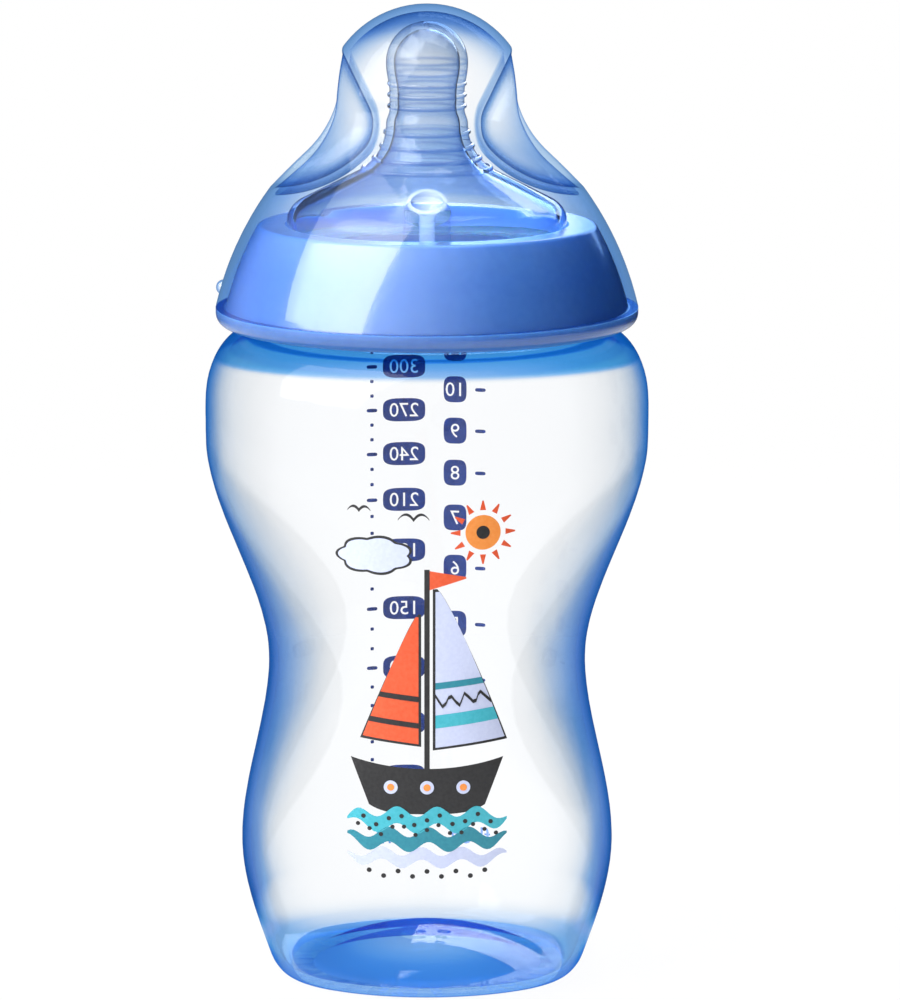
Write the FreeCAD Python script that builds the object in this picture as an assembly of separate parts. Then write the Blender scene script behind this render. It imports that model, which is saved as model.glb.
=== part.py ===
import FreeCAD, Part
import math
import os

from FreeCAD import Vector

os.makedirs("parts", exist_ok=True)

# Driving dimensions, in millimetres and degrees. The axis of the bottle is Z, its base stands on Z = 0
# and its printed front faces -Y.

# Bottle: a round barrel with a finger grip scooped into its left and right sides.
belly_radius = 37.5
barrel_height = 50.0
barrel_base_radius = 29.0
bottle_wall = 1.5
base_half_width = 25.9
base_lean = 19.6
bulge_half_width = 31.6
bulge_height = 22.2
waist_half_width = 26.9
waist_height = 53.5
grip_top_drop = 5.5
grip_axis_offset = 26.4
ridge_round = 20.0

# Base of the bottle: a standing ring around a pushed-up floor with a moulding gate at its centre.
heel_round = 4.0
push_up_radius = 19.5
push_up_height = 5.0
gate_radius = 4.6
gate_depth = 0.5

# Shoulder and neck of the bottle.
shoulder_height = 97.5
shoulder_rise = 12.3
shoulder_ledge = 2.1
ledge_bead_radius = 0.5
neck_radius = 27.4
neck_height = 13.0
neck_wall = 2.0
neck_root_round = 2.5

# Screw thread shared by the neck and the collar.
thread_pitch = 4.5
thread_turns = 1.25
thread_height = 1.3
thread_root_width = 2.2
thread_tip_width = 1.0
thread_top_margin = 1.8
thread_clearance = 0.4

# Teat: nipple, ribbed dome, clamping flange and vent pocket in one silicone moulding.
teat_wall = 1.5
teat_flange_thickness = 1.7
nipple_radius = 6.9
nipple_waist_radius = 6.3
nipple_foot_radius = 6.9
nipple_taper = 5.5
nipple_headroom = 1.6
nipple_rib_count = 5
nipple_rib_pitch = 1.9
rib_radius = 0.4
dome_slope = 27.0
dome_corner_round = 4.0
dome_neck_round = 9.0
dome_ring_count = 4
feed_hole_radius = 0.4
vent_inset = 6.15
vent_radius = 4.0
vent_depth = 7.6
vent_bowl_radius = 2.7
vent_bowl_depth = 2.7
vent_stem_radius = 1.3
vent_tip_thickness = 0.9
vent_slit_width = 0.3

# Collar: screw ring whose flange carries the hood.
collar_ledge_reach = 3.4
collar_ledge_thickness = 2.8
collar_flange_height = 3.0
collar_flange_reach = 8.3
collar_flange_round = 2.2
collar_rim_round = 0.9
collar_lead_in = 0.8
index_mark_width = 0.5
index_mark_proud = 0.15

# Hood: a bell of revolution with a finger scoop in its left and right sides.
hood_wall = 1.3
crown_radius = 17.5
crown_lean = 7.0
flare_round = 19.0
flare_lean = 43.0
skirt_lean = 13.0
scoop_half_width = 7.4
scoop_corner_round = 5.0
scoop_upper_lean = 25.7
scoop_lower_lean = 45.0
scoop_throat_round = 6.0
scoop_foot_drop = 10.4
scoop_rim_round = 1.2
nub_radius = 1.3
nub_height = 3.2
nub_proud = 0.8

# Clearances between pieces.
seat_gap = 0.1
running_gap = 0.35
scoop_gap = 0.45

# Outlines that shape the bottle: points around each, and outlines up the barrel and over the shoulder.
section_points = 72
barrel_sections = 24
shoulder_sections = 6

# Distance under which two shapes count as touching.
TOUCH = 0.001

# Heights and radii that follow from the driving dimensions.
shoulder_top = shoulder_height + shoulder_rise
grip_top = shoulder_height - grip_top_drop
shoulder_inner = neck_radius + shoulder_ledge
neck_bore = neck_radius - neck_wall
neck_top = shoulder_top + neck_height
teat_flange_bottom = neck_top + seat_gap
teat_flange_top = teat_flange_bottom + teat_flange_thickness
collar_bottom = shoulder_top + ledge_bead_radius + seat_gap
collar_ledge = teat_flange_top + seat_gap
collar_top = collar_ledge + collar_ledge_thickness
collar_opening = neck_radius - collar_ledge_reach
collar_bore = neck_radius + thread_height + thread_clearance
hood_seat = collar_bottom + collar_flange_height
hood_bottom = hood_seat + seat_gap
hood_bottom_radius = neck_radius + collar_flange_reach
dome_radius = collar_opening - running_gap
dome_bottom = collar_top + running_gap
vent_reach = dome_radius - vent_inset


def sine(angle):
    return math.sin(math.radians(angle))


def cosine(angle):
    return math.cos(math.radians(angle))


def at(radius, height):
    """Point of a half section: distance from the axis, and height."""
    return Vector(radius, 0, height)


def on_circle(centre, radius, angle):
    return centre + Vector(radius * cosine(angle), 0, radius * sine(angle))


def line(start, end):
    return Part.LineSegment(start, end).toShape()


def chain(points):
    """Straight edges through a list of points."""
    return [line(start, end) for start, end in zip(points, points[1:])]


def arc(centre, radius, first, last):
    """Arc in the half section from the angle first to the angle last, counted from +X towards +Z."""
    middle = on_circle(centre, radius, (first + last) / 2)
    return Part.Arc(on_circle(centre, radius, first), middle, on_circle(centre, radius, last)).toShape()


def spin(edges):
    """Solid of revolution of a closed half section about the bottle's axis."""
    face = Part.Face(Part.Wire(edges))
    return Part.Solid(face.revolve(Vector(0, 0, 0), Vector(0, 0, 1), 360))


def turned(shape, angle):
    """Copy of a shape turned about the bottle's axis."""
    copy = shape.copy()
    copy.rotate(Vector(0, 0, 0), Vector(0, 0, 1), angle)
    return copy


def save(shape, name):
    shape.exportStep("parts/" + name + ".step")


def barrel_radius(height, inset):
    """Radius of the round barrel: an arc that swells from the base, a straight belly, an oval shoulder."""
    if height > shoulder_height:
        share = min(1.0, (height - shoulder_height) / (shoulder_rise - inset))
        return shoulder_inner + (belly_radius - inset - shoulder_inner) * math.sqrt(1 - share ** 2)
    reach = belly_radius - barrel_base_radius
    flank = (reach ** 2 + barrel_height ** 2) / (2 * reach)
    below = max(0.0, barrel_height - height)
    return belly_radius - flank + math.sqrt((flank - inset) ** 2 - below ** 2)


def eased(start, end, share):
    """Value between start and end that leaves the one and reaches the other with no slope."""
    return start + (end - start) * share ** 2 * (3 - 2 * share)


def side_width(height):
    """Half the bottle's width between its grips: base, bulge, waist, and out again to the belly."""
    if height >= grip_top:
        return belly_radius
    if height >= waist_height:
        return eased(waist_half_width, belly_radius, (height - waist_height) / (grip_top - waist_height))
    if height >= bulge_height:
        share = (height - bulge_height) / (waist_height - bulge_height)
        return eased(bulge_half_width, waist_half_width, share)
    share = 1 - height / bulge_height
    lean = bulge_height * sine(base_lean) / cosine(base_lean)
    return eased(bulge_half_width, base_half_width, share) + lean * share ** 2 * (1 - share)


def drawn_in_width(height, inset):
    """Half width between the grips, drawn in square to its slope by inset."""
    slope = (side_width(height + seat_gap) - side_width(height - seat_gap)) / (2 * seat_gap)
    return side_width(height) - inset * math.sqrt(1 + slope ** 2)


def section_radius(angle, height, inset):
    """Distance from the axis to the bottle's skin: a grip's flank, a soft ridge and the barrel in turn.

    The flank is part of a circle about an axis on the far side, and the ridge is an arc that touches both circles.
    """
    barrel = barrel_radius(height, inset)
    flank = drawn_in_width(height, inset) + grip_axis_offset
    ridge = ridge_round - inset
    ridge_reach = barrel - ridge
    ridge_x = ((flank - ridge) ** 2 - ridge_reach ** 2 - grip_axis_offset ** 2) / (2 * grip_axis_offset)
    ridge_x = min(ridge_x, ridge_reach)
    ridge_y = math.sqrt(ridge_reach ** 2 - ridge_x ** 2)
    if angle >= math.degrees(math.atan2(ridge_y, ridge_x)):
        return barrel
    lean = math.atan2(ridge_y, ridge_x + grip_axis_offset)
    flank_end = math.atan2(flank * math.sin(lean), flank * math.cos(lean) - grip_axis_offset)
    if angle <= math.degrees(flank_end):
        return math.sqrt(flank ** 2 - (grip_axis_offset * sine(angle)) ** 2) - grip_axis_offset * cosine(angle)
    along = ridge_x * cosine(angle) + ridge_y * sine(angle)
    across = ridge_x * sine(angle) - ridge_y * cosine(angle)
    return along + math.sqrt(ridge ** 2 - across ** 2)


def section(height, inset):
    """Closed outline of the bottle at a height, the same in all four quarters."""
    points = []
    for index in range(section_points):
        angle = 360 * index / section_points
        from_side = abs((angle + 90) % 180 - 90)
        radius = section_radius(from_side, height, inset)
        points.append(Vector(radius * cosine(angle), radius * sine(angle), height))
    curve = Part.BSplineCurve()
    curve.interpolate(Points=points, PeriodicFlag=True)
    return Part.Wire(curve.toShape())


def section_heights(inset):
    """Heights of the outlines, evenly up to the shoulder and then evenly around the shoulder's oval."""
    span = shoulder_height - inset
    heights = [inset + span * index / barrel_sections for index in range(barrel_sections)]
    for index in range(shoulder_sections + 1):
        heights.append(shoulder_height + (shoulder_rise - inset) * sine(90 * index / shoulder_sections))
    return heights


def push_up(inset):
    """Ball whose top is the pushed-up floor."""
    radius = (push_up_radius ** 2 + push_up_height ** 2) / (2 * push_up_height)
    return Part.makeSphere(radius + inset, at(0, push_up_height - radius))


def bottle_form(inset):
    """Smooth body through all the outlines, with a rounded heel and a pushed-up floor."""
    form = Part.makeLoft([section(height, inset) for height in section_heights(inset)], True)
    heel = [edge for edge in form.Edges if edge.BoundBox.ZMax < inset + seat_gap]
    return form.makeFillet(heel_round - inset, heel).Solids[0].cut(push_up(inset))


def thread(root_radius, tip_radius, start):
    """Screw ridge from its root to its tip, as a trapezium carried along a helix that starts at start."""
    rise = thread_pitch * thread_turns
    helix = Part.makeHelix(thread_pitch, rise, neck_radius)
    helix.translate(Vector(0, 0, start))
    half_root = thread_root_width / 2
    half_tip = thread_tip_width / 2
    corners = [
        at(root_radius, start - half_root),
        at(tip_radius, start - half_tip),
        at(tip_radius, start + half_tip),
        at(root_radius, start + half_root),
        at(root_radius, start - half_root),
    ]
    profile = Part.Wire(chain(corners))
    return Part.Wire(helix.Edges).makePipeShell([profile], True, True)


def neck_thread_start():
    return neck_top - thread_top_margin - thread_root_width / 2 - thread_pitch * thread_turns


def bottle_body():
    """Bottle with its neck, screw thread, hollow inside and moulding gate."""
    bead_reach = neck_radius + shoulder_ledge / 2
    ledge_bead = Part.makeTorus(bead_reach, ledge_bead_radius, at(0, shoulder_top))
    neck = Part.makeCylinder(neck_radius, neck_top - shoulder_height, at(0, shoulder_height))
    ridge = thread(neck_radius - neck_wall / 2, neck_radius + thread_height, neck_thread_start())
    outer = bottle_form(0.0).fuse(neck.fuse(ridge)).fuse(ledge_bead)
    return outer.cut(bottle_hollow()).cut(gate_mark())


def bottle_hollow():
    """Inside of the bottle, with a flared passage up through the neck."""
    root = at(neck_bore + neck_root_round, shoulder_top - bottle_wall + neck_root_round)
    above = neck_top + bottle_wall
    passage_bottom = shoulder_top - bottle_wall - neck_root_round
    edges = [arc(root, neck_root_round, 270, 180)]
    bend_end = on_circle(root, neck_root_round, 180)
    bend_start = on_circle(root, neck_root_round, 270)
    corners = [bend_end, at(neck_bore, above), at(0, above), at(0, passage_bottom)]
    corners.extend([at(bend_start.x, passage_bottom), bend_start])
    edges.extend(chain(corners))
    return bottle_form(bottle_wall).fuse(spin(edges))


def gate_mark():
    """Shallow round dimple under the middle of the floor."""
    return Part.makeCylinder(gate_radius, push_up_height + gate_depth, at(0, 0))


def hood_outline(inset):
    """Crown, flare and skirt arcs of the bell, drawn in by inset, from the top down, with their ends."""
    flare_span = flare_round * (cosine(crown_lean) - cosine(flare_lean))
    reach = hood_bottom_radius - crown_radius * cosine(crown_lean) - flare_span
    skirt_round = reach / (cosine(skirt_lean) - cosine(flare_lean))
    skirt_rise = skirt_round * (sine(flare_lean) - sine(skirt_lean))
    flare_rise = flare_round * (sine(flare_lean) - sine(crown_lean))
    crown_centre = at(0, hood_bottom + skirt_rise + flare_rise - crown_radius * sine(crown_lean))
    flare_start = on_circle(crown_centre, crown_radius, crown_lean)
    flare_centre = on_circle(flare_start, flare_round, crown_lean)
    skirt_start = on_circle(flare_centre, flare_round, 180 + flare_lean)
    skirt_centre = on_circle(skirt_start, skirt_round, 180 + flare_lean)
    crown = (crown_centre, crown_radius - inset, 90, crown_lean)
    flare = (flare_centre, flare_round + inset, 180 + crown_lean, 180 + flare_lean)
    skirt = (skirt_centre, skirt_round - inset, flare_lean, skirt_lean)
    return crown, flare, skirt


def skirt_point(inset, height):
    """Point of the drawn-in skirt at a height, and its angle on the skirt's circle."""
    centre, radius = hood_outline(inset)[2][:2]
    angle = math.degrees(math.asin((height - centre.z) / radius))
    return on_circle(centre, radius, angle), angle


def bell(inset):
    """Round solid of the hood, drawn in by inset, down to the hood's edge."""
    crown, flare, skirt = hood_outline(inset)
    edges = [arc(*crown), arc(*flare), arc(*skirt)]
    rim = on_circle(skirt[0], skirt[1], skirt[3])
    edges.extend(chain([rim, at(0, rim.z), on_circle(crown[0], crown[1], crown[2])]))
    return spin(edges)


def throat_height():
    """Height at which the finger scoops come nearest to the nipple's foot."""
    return dome_outline(0.0)[2][0].z


def scoop(inset):
    """Finger scoop cut into the right side: a leaning floor, a round throat and a foot that turns level."""
    throat_radius = nipple_foot_radius + rib_radius + scoop_gap + hood_wall
    centre = at(throat_radius + scoop_throat_round, throat_height())
    drop = scoop_foot_drop - scoop_throat_round * sine(scoop_lower_lean)
    foot_round = drop / (1 - sine(scoop_lower_lean))
    bend = on_circle(centre, scoop_throat_round, 180 + scoop_lower_lean)
    foot_centre = on_circle(bend, foot_round, scoop_lower_lean)
    upper = on_circle(centre, scoop_throat_round + inset, 180 - scoop_upper_lean)
    far = hood_bottom_radius + crown_radius
    climb = (far - upper.x) / sine(scoop_upper_lean)
    top = upper + Vector(sine(scoop_upper_lean), 0, cosine(scoop_upper_lean)) * climb
    foot = on_circle(foot_centre, foot_round + inset, 270)
    edges = [line(top, upper)]
    edges.append(arc(centre, scoop_throat_round + inset, 180 - scoop_upper_lean, 180 + scoop_lower_lean))
    edges.append(arc(foot_centre, foot_round + inset, 180 + scoop_lower_lean, 270))
    edges.extend(chain([foot, at(far, foot.z), top]))
    half = scoop_half_width + inset
    tool = Part.Face(Part.Wire(edges)).extrude(Vector(0, 2 * half, 0))
    tool.translate(Vector(0, -half, 0))
    floor_edges = [edge for edge in tool.Edges if is_floor_edge(edge, far)]
    return tool.makeFillet(scoop_corner_round + inset, floor_edges)


def is_floor_edge(edge, far):
    """True for an edge between a scoop's floor and one of its two side walls."""
    return edge.BoundBox.YLength < seat_gap and edge.BoundBox.XMin < far - seat_gap


def scooped_bell(inset):
    """Bell with the finger scoop cut into both sides."""
    right = scoop(inset)
    return bell(inset).cut(right).cut(turned(right, 180))


def is_scoop_rim(edge, skin):
    """True for an edge on which a finger scoop breaks through the bell's skin."""
    if edge.Degenerated:
        return False
    reach = max(edge.BoundBox.YMax, -edge.BoundBox.YMin)
    middle = edge.valueAt((edge.FirstParameter + edge.LastParameter) / 2)
    near_scoop = seat_gap < reach < scoop_half_width + seat_gap
    return near_scoop and skin.distToShape(Part.Vertex(middle))[0] < TOUCH


def rounded_bell():
    """Outside of the hood, with the rims of its scoops rounded."""
    skin = Part.Compound([face for face in bell(0.0).Faces if face.BoundBox.ZLength > TOUCH])
    form = scooped_bell(0.0)
    return form.makeFillet(scoop_rim_round, [edge for edge in form.Edges if is_scoop_rim(edge, skin)])


def hood():
    """Bell with a thin wall, two finger scoops and a small nub on its left side."""
    nub_place = skirt_point(nub_radius - nub_proud, hood_bottom + nub_height)[0]
    nub = Part.makeSphere(nub_radius, Vector(-nub_place.x, 0, nub_place.z))
    return rounded_bell().fuse(nub).cut(scooped_bell(hood_wall))


def dome_outline(inset):
    """Corner, slope and neck of the teat's dome, drawn in by inset: corner arc, slope ends, neck arc."""
    corner_centre = at(dome_radius - dome_corner_round, dome_bottom)
    corner = (corner_centre, dome_corner_round - inset, 0, 90 - dome_slope)
    neck_x = nipple_foot_radius + dome_neck_round
    slope_start = on_circle(corner_centre, dome_corner_round, 90 - dome_slope)
    slope_end_x = neck_x - dome_neck_round * sine(dome_slope)
    slope_rise = (slope_start.x - slope_end_x) * sine(dome_slope) / cosine(dome_slope)
    neck_z = slope_start.z + slope_rise + dome_neck_round * cosine(dome_slope)
    neck = (at(neck_x, neck_z), dome_neck_round + inset, 270 - dome_slope, 180)
    slope = (on_circle(*corner[:2], corner[3]), on_circle(*neck[:2], neck[2]))
    return corner, slope, neck


def sway(start, end):
    """Two equal arcs that lead from start to end, both ends upright."""
    middle = (start + end) / 2
    across = end.x - start.x
    along = end.z - start.z
    radius = (across ** 2 + along ** 2) / (4 * abs(across))
    bulge = math.degrees(math.asin(abs(along) / (2 * radius)))
    side = 1 if across > 0 else -1
    first = at(start.x + side * radius, start.z)
    second = at(end.x - side * radius, end.z)
    first_angle = 180 if side > 0 else 0
    turn = bulge if (along > 0) == (side < 0) else -bulge
    lower = arc(first, radius, first_angle, first_angle + turn)
    upper = arc(second, radius, first_angle + 180 + turn, first_angle + 180)
    return [lower, upper]


def teat_form(inset):
    """Round form of the teat above its flange, drawn in by inset."""
    corner, slope, neck = dome_outline(inset)
    foot = on_circle(neck[0], neck[1], 180)
    tip = bell_top() - hood_wall - nipple_headroom
    ball_centre = at(0, tip - nipple_radius)
    waist_low = at(nipple_waist_radius - inset, foot.z + nipple_taper / 2)
    waist_high = at(nipple_waist_radius - inset, ball_centre.z - nipple_taper)
    ball_side = at(nipple_radius - inset, ball_centre.z)
    floor = teat_flange_bottom - inset
    wall_foot = at(dome_radius - inset, floor)
    wall_top = at(dome_radius - inset, dome_bottom)
    edges = [line(wall_foot, wall_top), arc(*corner), line(*slope), arc(*neck)]
    edges.extend(sway(foot, waist_low))
    edges.append(line(waist_low, waist_high))
    edges.extend(sway(waist_high, ball_side))
    edges.append(arc(ball_centre, nipple_radius - inset, 0, 90))
    edges.extend(chain([at(0, tip - inset), at(0, floor), wall_foot]))
    return spin(edges)


def bell_top():
    crown = hood_outline(0.0)[0]
    return crown[0].z + crown[1]


def bead(radius, height):
    """Round rib around the teat."""
    return Part.makeTorus(radius, rib_radius, at(0, height))


def teat_ribs():
    """Ribs around the nipple's waist, and wider rings down the neck of the dome."""
    neck = dome_outline(0.0)[2]
    first = neck[0].z + nipple_taper / 2 + rib_radius
    ribs = [bead(nipple_waist_radius, first + index * nipple_rib_pitch) for index in range(nipple_rib_count)]
    for index in range(dome_ring_count):
        angle = 180 + (90 - dome_slope) * (index + 0.5) / dome_ring_count
        place = on_circle(neck[0], neck[1], angle)
        ribs.append(bead(place.x, place.z))
    return ribs


def dome_height(radius):
    """Height of the dome's outer slope at a distance from the axis."""
    low, high = dome_outline(0.0)[1]
    return low.z + (low.x - radius) * (high.z - low.z) / (low.x - high.x)


def vent_pocket(mouth):
    """Goblet-shaped hollow of the vent, open at the dome's surface, with a slit in its closed tip."""
    bowl_floor = mouth - vent_bowl_depth
    stem_floor = mouth - vent_depth + vent_tip_thickness
    above = mouth + vent_radius
    bowl_centre = at(0, bowl_floor + vent_bowl_radius)
    lip = at(vent_stem_radius, bowl_centre.z - math.sqrt(vent_bowl_radius ** 2 - vent_stem_radius ** 2))
    edge_angle = math.degrees(math.atan2(lip.z - bowl_centre.z, lip.x))
    edges = [arc(bowl_centre, vent_bowl_radius, edge_angle, 0)]
    corners = [at(vent_bowl_radius, bowl_centre.z), at(vent_bowl_radius, above), at(0, above)]
    corners.extend([at(0, stem_floor), at(vent_stem_radius, stem_floor), lip])
    edges.extend(chain(corners))
    slit = Part.makeBox(2 * vent_stem_radius, vent_slit_width, vent_depth)
    slit.translate(Vector(-vent_stem_radius, -vent_slit_width / 2, stem_floor - vent_depth + seat_gap))
    return spin(edges).fuse(slit)


def teat():
    """Hollow silicone teat with its flange, ribs, feed hole and vent pocket at the front."""
    mouth = dome_height(vent_reach)
    front = Vector(0, -vent_reach, 0)
    flange = Part.makeCylinder(neck_radius, teat_flange_thickness, at(0, teat_flange_bottom))
    outer = teat_form(0.0)
    stub_height = vent_depth + vent_radius
    stub = Part.makeCylinder(vent_radius, stub_height, at(0, mouth - vent_depth) + front).common(outer)
    pocket = vent_pocket(mouth)
    pocket.translate(front)
    feed_hole = Part.makeCylinder(feed_hole_radius, bell_top(), at(0, collar_top))
    shell = outer.fuse(flange).cut(teat_form(teat_wall)).multiFuse(teat_ribs())
    return shell.fuse(stub).cut(pocket).cut(feed_hole)


def collar_form():
    """Outside of the collar: the hood's inside shape, a rounded flange and a rounded top rim."""
    fit = hood_wall + running_gap
    centre, radius = hood_outline(fit)[2][:2]
    rim, rim_angle = skirt_point(fit, collar_top)
    seat, seat_angle = skirt_point(fit, hood_seat)
    flange_round_centre = at(hood_bottom_radius - collar_flange_round, collar_bottom + collar_flange_round)
    edges = [arc(centre, radius, rim_angle, seat_angle)]
    flange_side = on_circle(flange_round_centre, collar_flange_round, 0)
    flange_floor = on_circle(flange_round_centre, collar_flange_round, -90)
    edges.extend(chain([seat, at(hood_bottom_radius, hood_seat), flange_side]))
    edges.append(arc(flange_round_centre, collar_flange_round, 0, -90))
    edges.extend(chain([flange_floor, at(0, collar_bottom), at(0, collar_top), rim]))
    form = spin(edges)
    top_edges = [edge for edge in form.Edges if edge.BoundBox.ZMin > collar_top - seat_gap]
    return form.makeFillet(collar_rim_round, [edge for edge in top_edges if not edge.Degenerated])


def collar_hollow():
    """Inside of the collar: screw bore, teat seat and opening, with a lead-in at the bottom."""
    seat_radius = neck_radius + running_gap
    bore_top = neck_thread_start() + thread_pitch * thread_turns + thread_root_width
    step = collar_bore - seat_radius
    above = collar_top + collar_ledge_thickness
    corners = [
        at(0, collar_bottom - collar_lead_in),
        at(collar_bore + 2 * collar_lead_in, collar_bottom - collar_lead_in),
        at(collar_bore, collar_bottom + collar_lead_in),
        at(collar_bore, bore_top - step),
        at(seat_radius, bore_top),
        at(seat_radius, collar_ledge),
        at(collar_opening, collar_ledge),
        at(collar_opening, above),
        at(0, above),
        at(0, collar_bottom - collar_lead_in),
    ]
    return spin(chain(corners))


def screw_collar():
    """Screw ring with its inner thread just under the neck's thread."""
    drop = (thread_root_width + thread_tip_width) / 2 + running_gap
    start = neck_thread_start() - drop
    ridge = thread(collar_bore + thread_height, neck_radius + thread_clearance, start)
    return collar_form().fuse(index_mark()).cut(collar_hollow()).fuse(ridge)


def index_mark():
    """Fine upright line on the flange's front that shows where the thread starts."""
    length = collar_flange_height - collar_flange_round
    depth = hood_wall + index_mark_proud
    front = Vector(-index_mark_width / 2, -hood_bottom_radius - index_mark_proud, hood_seat - length)
    return Part.makeBox(index_mark_width, depth, length, front)


save(bottle_body(), "bottle_body")
save(teat(), "teat")
save(screw_collar(), "screw_collar")
save(hood(), "hood")
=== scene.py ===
import math

import bmesh
import bpy
import numpy as np
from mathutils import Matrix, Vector


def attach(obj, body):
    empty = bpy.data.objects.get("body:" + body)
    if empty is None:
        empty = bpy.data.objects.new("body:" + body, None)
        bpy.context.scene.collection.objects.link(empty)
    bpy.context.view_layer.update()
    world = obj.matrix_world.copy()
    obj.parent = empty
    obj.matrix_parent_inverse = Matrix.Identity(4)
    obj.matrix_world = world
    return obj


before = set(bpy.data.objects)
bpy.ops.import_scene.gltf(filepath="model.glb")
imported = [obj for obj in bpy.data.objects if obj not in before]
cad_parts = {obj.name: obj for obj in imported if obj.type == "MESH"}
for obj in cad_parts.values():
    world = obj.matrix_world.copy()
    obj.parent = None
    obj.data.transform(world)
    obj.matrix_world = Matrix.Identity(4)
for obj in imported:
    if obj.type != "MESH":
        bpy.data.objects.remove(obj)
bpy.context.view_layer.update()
scene = bpy.context.scene
scene.view_settings.view_transform = "Standard"


# Bottle: a blow-moulded shell of clear plastic with a cornflower tint, a polished skin, a finger grip scooped
# into each side and a screw thread on its neck. Square on it is almost colourless; edge-on, where the view
# runs a long way through the wall, the tint gathers to cobalt.
MM = 0.001
belly_radius = 37.5 * MM
barrel_height = 50.0 * MM
barrel_base_radius = 29.0 * MM
base_half_width = 25.9 * MM
base_lean = math.radians(19.6)
bulge_half_width = 31.6 * MM
bulge_height = 22.2 * MM
waist_half_width = 26.9 * MM
waist_height = 53.5 * MM
grip_bottom = 4.0 * MM
grip_top = 92.0 * MM
grip_axis_offset = 26.4 * MM
shoulder_height = 97.5 * MM
shoulder_rise = 12.3 * MM
shoulder_inner = 29.5 * MM


def eased(start, end, share):
    """A smooth step from start to end: share squared times (3 - 2 share)."""
    return start + (end - start) * share * share * (3 - 2 * share)


def barrel_reach(height, inset):
    """Radius of the round barrel at a height: a circle arc up to the belly, then a straight wall, then the
    quarter oval of the shoulder, all drawn in by `inset`."""
    bow = belly_radius - barrel_base_radius
    flank = (bow * bow + barrel_height * barrel_height) / (2 * bow)
    below = np.maximum(0, barrel_height - height)
    wall = belly_radius - flank + np.sqrt((flank - inset) ** 2 - below * below)
    risen = np.clip((height - shoulder_height) / (shoulder_rise - inset), 0, 1)
    oval = shoulder_inner + (belly_radius - inset - shoulder_inner) * np.sqrt(1 - risen * risen)
    return np.where(height > shoulder_height, oval, wall)


def side_reach(height):
    """Half width across the two grips: out from the base to the bulge, in to the waist, out to the belly,
    each stretch eased, with the lean of the base added in the lowest one."""
    up = eased(waist_half_width, belly_radius, (height - waist_height) / (grip_top - waist_height))
    down = eased(bulge_half_width, waist_half_width, (height - bulge_height) / (waist_height - bulge_height))
    low = 1 - height / bulge_height
    foot = eased(bulge_half_width, base_half_width, low)
    foot = foot + bulge_height * math.tan(base_lean) * low * low * (1 - low)
    above = [height >= grip_top, height >= waist_height, height >= bulge_height]
    return np.select(above, [np.full_like(height, belly_radius), up, down], foot)


def crossing(grip, barrel):
    """How far out a grip's circle, about an axis on the far side, meets a circle about the bottle's axis: the
    squares' difference, less the offset squared, over twice the offset."""
    return (grip ** 2 - barrel ** 2 - grip_axis_offset ** 2) / (2 * grip_axis_offset)


def axis_of(tree, axis, reading="Object"):
    """One axis of what Texture Coordinate reads: a place in object space, a normal or a direction."""
    place = tree.nodes.new("ShaderNodeTexCoord")
    axes = tree.nodes.new("ShaderNodeSeparateXYZ")
    tree.links.new(place.outputs[reading], axes.inputs["Vector"])
    return axes.outputs[axis]


def from_axis(tree, along=0.0):
    """The level way to a place in object space from an upright axis that stands at `along` on Y."""
    place = tree.nodes.new("ShaderNodeTexCoord")
    level = tree.nodes.new("ShaderNodeVectorMath")
    level.operation = "MULTIPLY_ADD"
    level.inputs[1].default_value = (1.0, 1.0, 0.0)
    level.inputs[2].default_value = (0.0, -along, 0.0)
    tree.links.new(place.outputs["Object"], level.inputs[0])
    return level.outputs["Vector"]


def feed(tree, value, socket):
    """Links a node's output to a socket, or sets the socket to a plain value."""
    if isinstance(value, bpy.types.NodeSocket):
        tree.links.new(value, socket)
    else:
        socket.default_value = value


def reckoned(tree, operation, first, second):
    """Two values put through a Math operation."""
    both = tree.nodes.new("ShaderNodeMath")
    both.operation = operation
    feed(tree, first, both.inputs[0])
    feed(tree, second, both.inputs[1])
    return both.outputs["Value"]


def mixed(tree, share, first, second, blend="MIX"):
    """Two colours mixed, all of the first where the share is 0 and all of the second where it is 1."""
    mix = tree.nodes.new("ShaderNodeMix")
    mix.data_type = "RGBA"
    mix.blend_type = blend
    feed(tree, share, mix.inputs["Factor"])
    feed(tree, first, mix.inputs["A"])
    feed(tree, second, mix.inputs["B"])
    return mix.outputs["Result"]


def multiplied(tree, first, second):
    """Two colours or values multiplied."""
    return mixed(tree, 1.0, first, second, "MULTIPLY")


def ranged(tree, source, low, high, to_low=0.0, to_high=1.0, ease="LINEAR"):
    """A value that runs from to_low to to_high as its source runs from low to high, and no further."""
    span = tree.nodes.new("ShaderNodeMapRange")
    span.interpolation_type = ease
    span.inputs["From Min"].default_value = low
    span.inputs["From Max"].default_value = high
    span.inputs["To Min"].default_value = to_low
    span.inputs["To Max"].default_value = to_high
    tree.links.new(source, span.inputs["Value"])
    return span.outputs["Result"]


def ramped(tree, source, stops, ease):
    """A colour that follows a value from 0 to 1 through (place, colour) stops."""
    ramp = tree.nodes.new("ShaderNodeValToRGB")
    ramp.color_ramp.interpolation = ease
    elements = ramp.color_ramp.elements
    while len(elements) < len(stops):
        elements.new(1.0)
    for element, (place, colour) in zip(elements, stops):
        element.position = place
        element.color = (*colour, 1.0)
    tree.links.new(source, ramp.inputs["Fac"])
    return ramp.outputs["Color"]


def by_measure(tree, measure, levels):
    """A colour, or a value from 0 to 1, that follows a measure in metres, straight between stops that are
    given in millimetres."""
    low = levels[0][0]
    high = levels[-1][0]
    stops = [((at - low) / (high - low), np.broadcast_to(level, 3)) for at, level in levels]
    return ramped(tree, ranged(tree, measure, low * MM, high * MM), stops, "LINEAR")


def by_height(tree, levels):
    """The same over the height in object space."""
    return by_measure(tree, axis_of(tree, "Z"), levels)


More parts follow.
